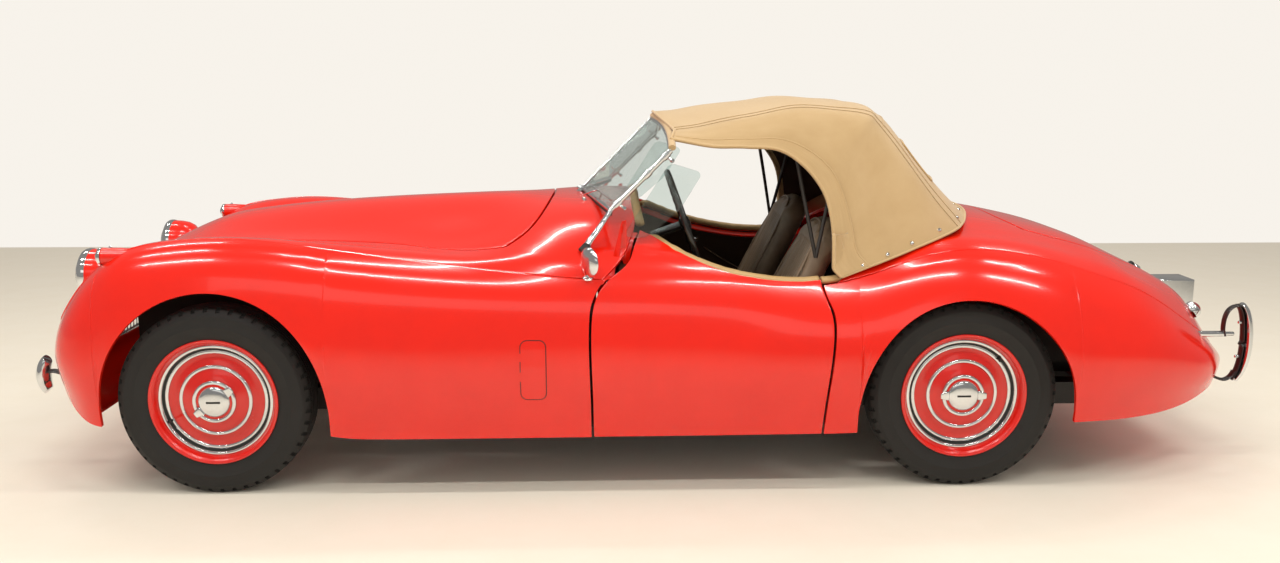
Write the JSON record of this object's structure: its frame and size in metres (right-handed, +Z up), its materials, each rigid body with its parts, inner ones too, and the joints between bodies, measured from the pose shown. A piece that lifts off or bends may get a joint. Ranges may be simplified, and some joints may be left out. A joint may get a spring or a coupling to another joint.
{
  "type": "open two-seater sports car",
  "caption": "Open two-seater sports car with a folding soft top, opening doors, bonnet and boot lid, steered front wheels and rolling disc wheels.",
  "frame": {"origin": "on the ground, under the middle of the bounding box", "axes": "+Z up, nose towards -X, left side towards -Y"},
  "size_m": [4.46, 1.5566, 1.345],
  "materials": {
    "body_paint": "gloss",
    "wheel_paint": "gloss",
    "chrome": "polished",
    "lamp_chrome": "polished",
    "tail_lens": "gloss",
    "glass": "clear",
    "tyre": "matt",
    "hood_cloth": "matt",
    "capping_cloth": "satin",
    "seat_leather": "satin",
    "dash_leather": "satin",
    "steering_black": "gloss",
    "hood_sticks": "satin",
    "chassis": "satin",
    "underbody": "satin",
    "engine": "matt",
    "castings": "matt",
    "exhaust": "matt"
  },
  "bodies": {
    "car": {"chassis_frame": "chassis", "floor_pan": "underbody", "engine_block": "engine", "driveline": "castings", "exhaust_system": "exhaust", "fuel_tank": "underbody", "front_suspension": "chassis", "rear_axle": "chassis", "outriggers": "chassis", "front_shroud": "body_paint", "front_wing_left": "body_paint", "front_wing_right": "body_paint", "rear_wing_left": "body_paint", "rear_wing_right": "body_paint", "rear_shroud": "body_paint", "aprons": "body_paint", "grille": "chrome", "front_lamps": "lamp_chrome", "tail_lamps": "tail_lens", "overriders": "chrome", "windscreen_frame": "chrome", "screen_glass": "glass", "soft_top": "hood_cloth", "hood_frame": "hood_sticks", "dashboard": "dash_leather", "seats": "seat_leather", "door_mirror": "chrome", "plate_plinth": "chrome"},
    "bonnet": {"bonnet": "body_paint"},
    "boot_lid": {"boot_lid": "body_paint"},
    "door_left": {"door_left": "body_paint", "door_capping_left": "capping_cloth"},
    "door_right": {"door_right": "body_paint", "door_capping_right": "capping_cloth"},
    "steering_wheel": {"steering_wheel": "steering_black"},
    "knuckle_left": {"knuckle_left": "castings"},
    "knuckle_right": {"knuckle_right": "castings"},
    "front_wheel_left": {"wheel_front_left": "wheel_paint", "tyre_front_left": "tyre"},
    "front_wheel_right": {"wheel_front_right": "wheel_paint", "tyre_front_right": "tyre"},
    "rear_wheel_left": {"wheel_rear_left": "wheel_paint", "tyre_rear_left": "tyre"},
    "rear_wheel_right": {"wheel_rear_right": "wheel_paint", "tyre_rear_right": "tyre"}
  },
  "joints": [
    {"name": "spin_front_left", "type": "hinge", "parent": "knuckle_left", "child": "front_wheel_left", "pos_m": [-1.508, -0.6475, 0.33], "axis": [0, 1, 0], "continuous": true},
    {"name": "spin_front_right", "type": "hinge", "parent": "knuckle_right", "child": "front_wheel_right", "pos_m": [-1.508, 0.6475, 0.33], "axis": [0, 1, 0], "continuous": true},
    {"name": "spin_rear_left", "type": "hinge", "parent": "car", "child": "rear_wheel_left", "pos_m": [1.083, -0.635, 0.33], "axis": [0, 1, 0], "continuous": true},
    {"name": "spin_rear_right", "type": "hinge", "parent": "car", "child": "rear_wheel_right", "pos_m": [1.083, 0.635, 0.33], "axis": [0, 1, 0], "continuous": true},
    {"name": "steer_left", "type": "hinge", "parent": "car", "child": "knuckle_left", "pos_m": [-1.508, -0.5375, 0.33], "axis": [0, 0, 1], "range_deg": [-27, 27]},
    {"name": "steer_right", "type": "hinge", "parent": "car", "child": "knuckle_right", "pos_m": [-1.508, 0.5375, 0.33], "axis": [0, 0, 1], "range_deg": [-27, 27]},
    {"name": "steering_wheel_turn", "type": "hinge", "parent": "car", "child": "steering_wheel", "pos_m": [0.126, -0.35, 0.891], "axis": [0.9455, 0, 0.3256], "range_deg": [-378, 378]},
    {"name": "door_left_hinge", "type": "hinge", "parent": "car", "child": "door_left", "pos_m": [-0.218, -0.776, 0.5], "axis": [0, 0, -1], "range_deg": [0, 65]},
    {"name": "door_right_hinge", "type": "hinge", "parent": "car", "child": "door_right", "pos_m": [-0.218, 0.776, 0.5], "axis": [0, 0, 1], "range_deg": [0, 65]},
    {"name": "bonnet_hinge", "type": "hinge", "parent": "car", "child": "bonnet", "pos_m": [-0.366, 0, 0.99], "axis": [0, 1, 0], "range_deg": [0, 50]},
    {"name": "boot_hinge", "type": "hinge", "parent": "car", "child": "boot_lid", "pos_m": [1.328, 0, 0.905], "axis": [0, -1, 0], "range_deg": [0, 65]}
  ],
  "couplings": [
    {"joint": "steer_right", "follows": "steer_left", "ratio": 1},
    {"joint": "steering_wheel_turn", "follows": "steer_left", "ratio": 14}
  ]
}
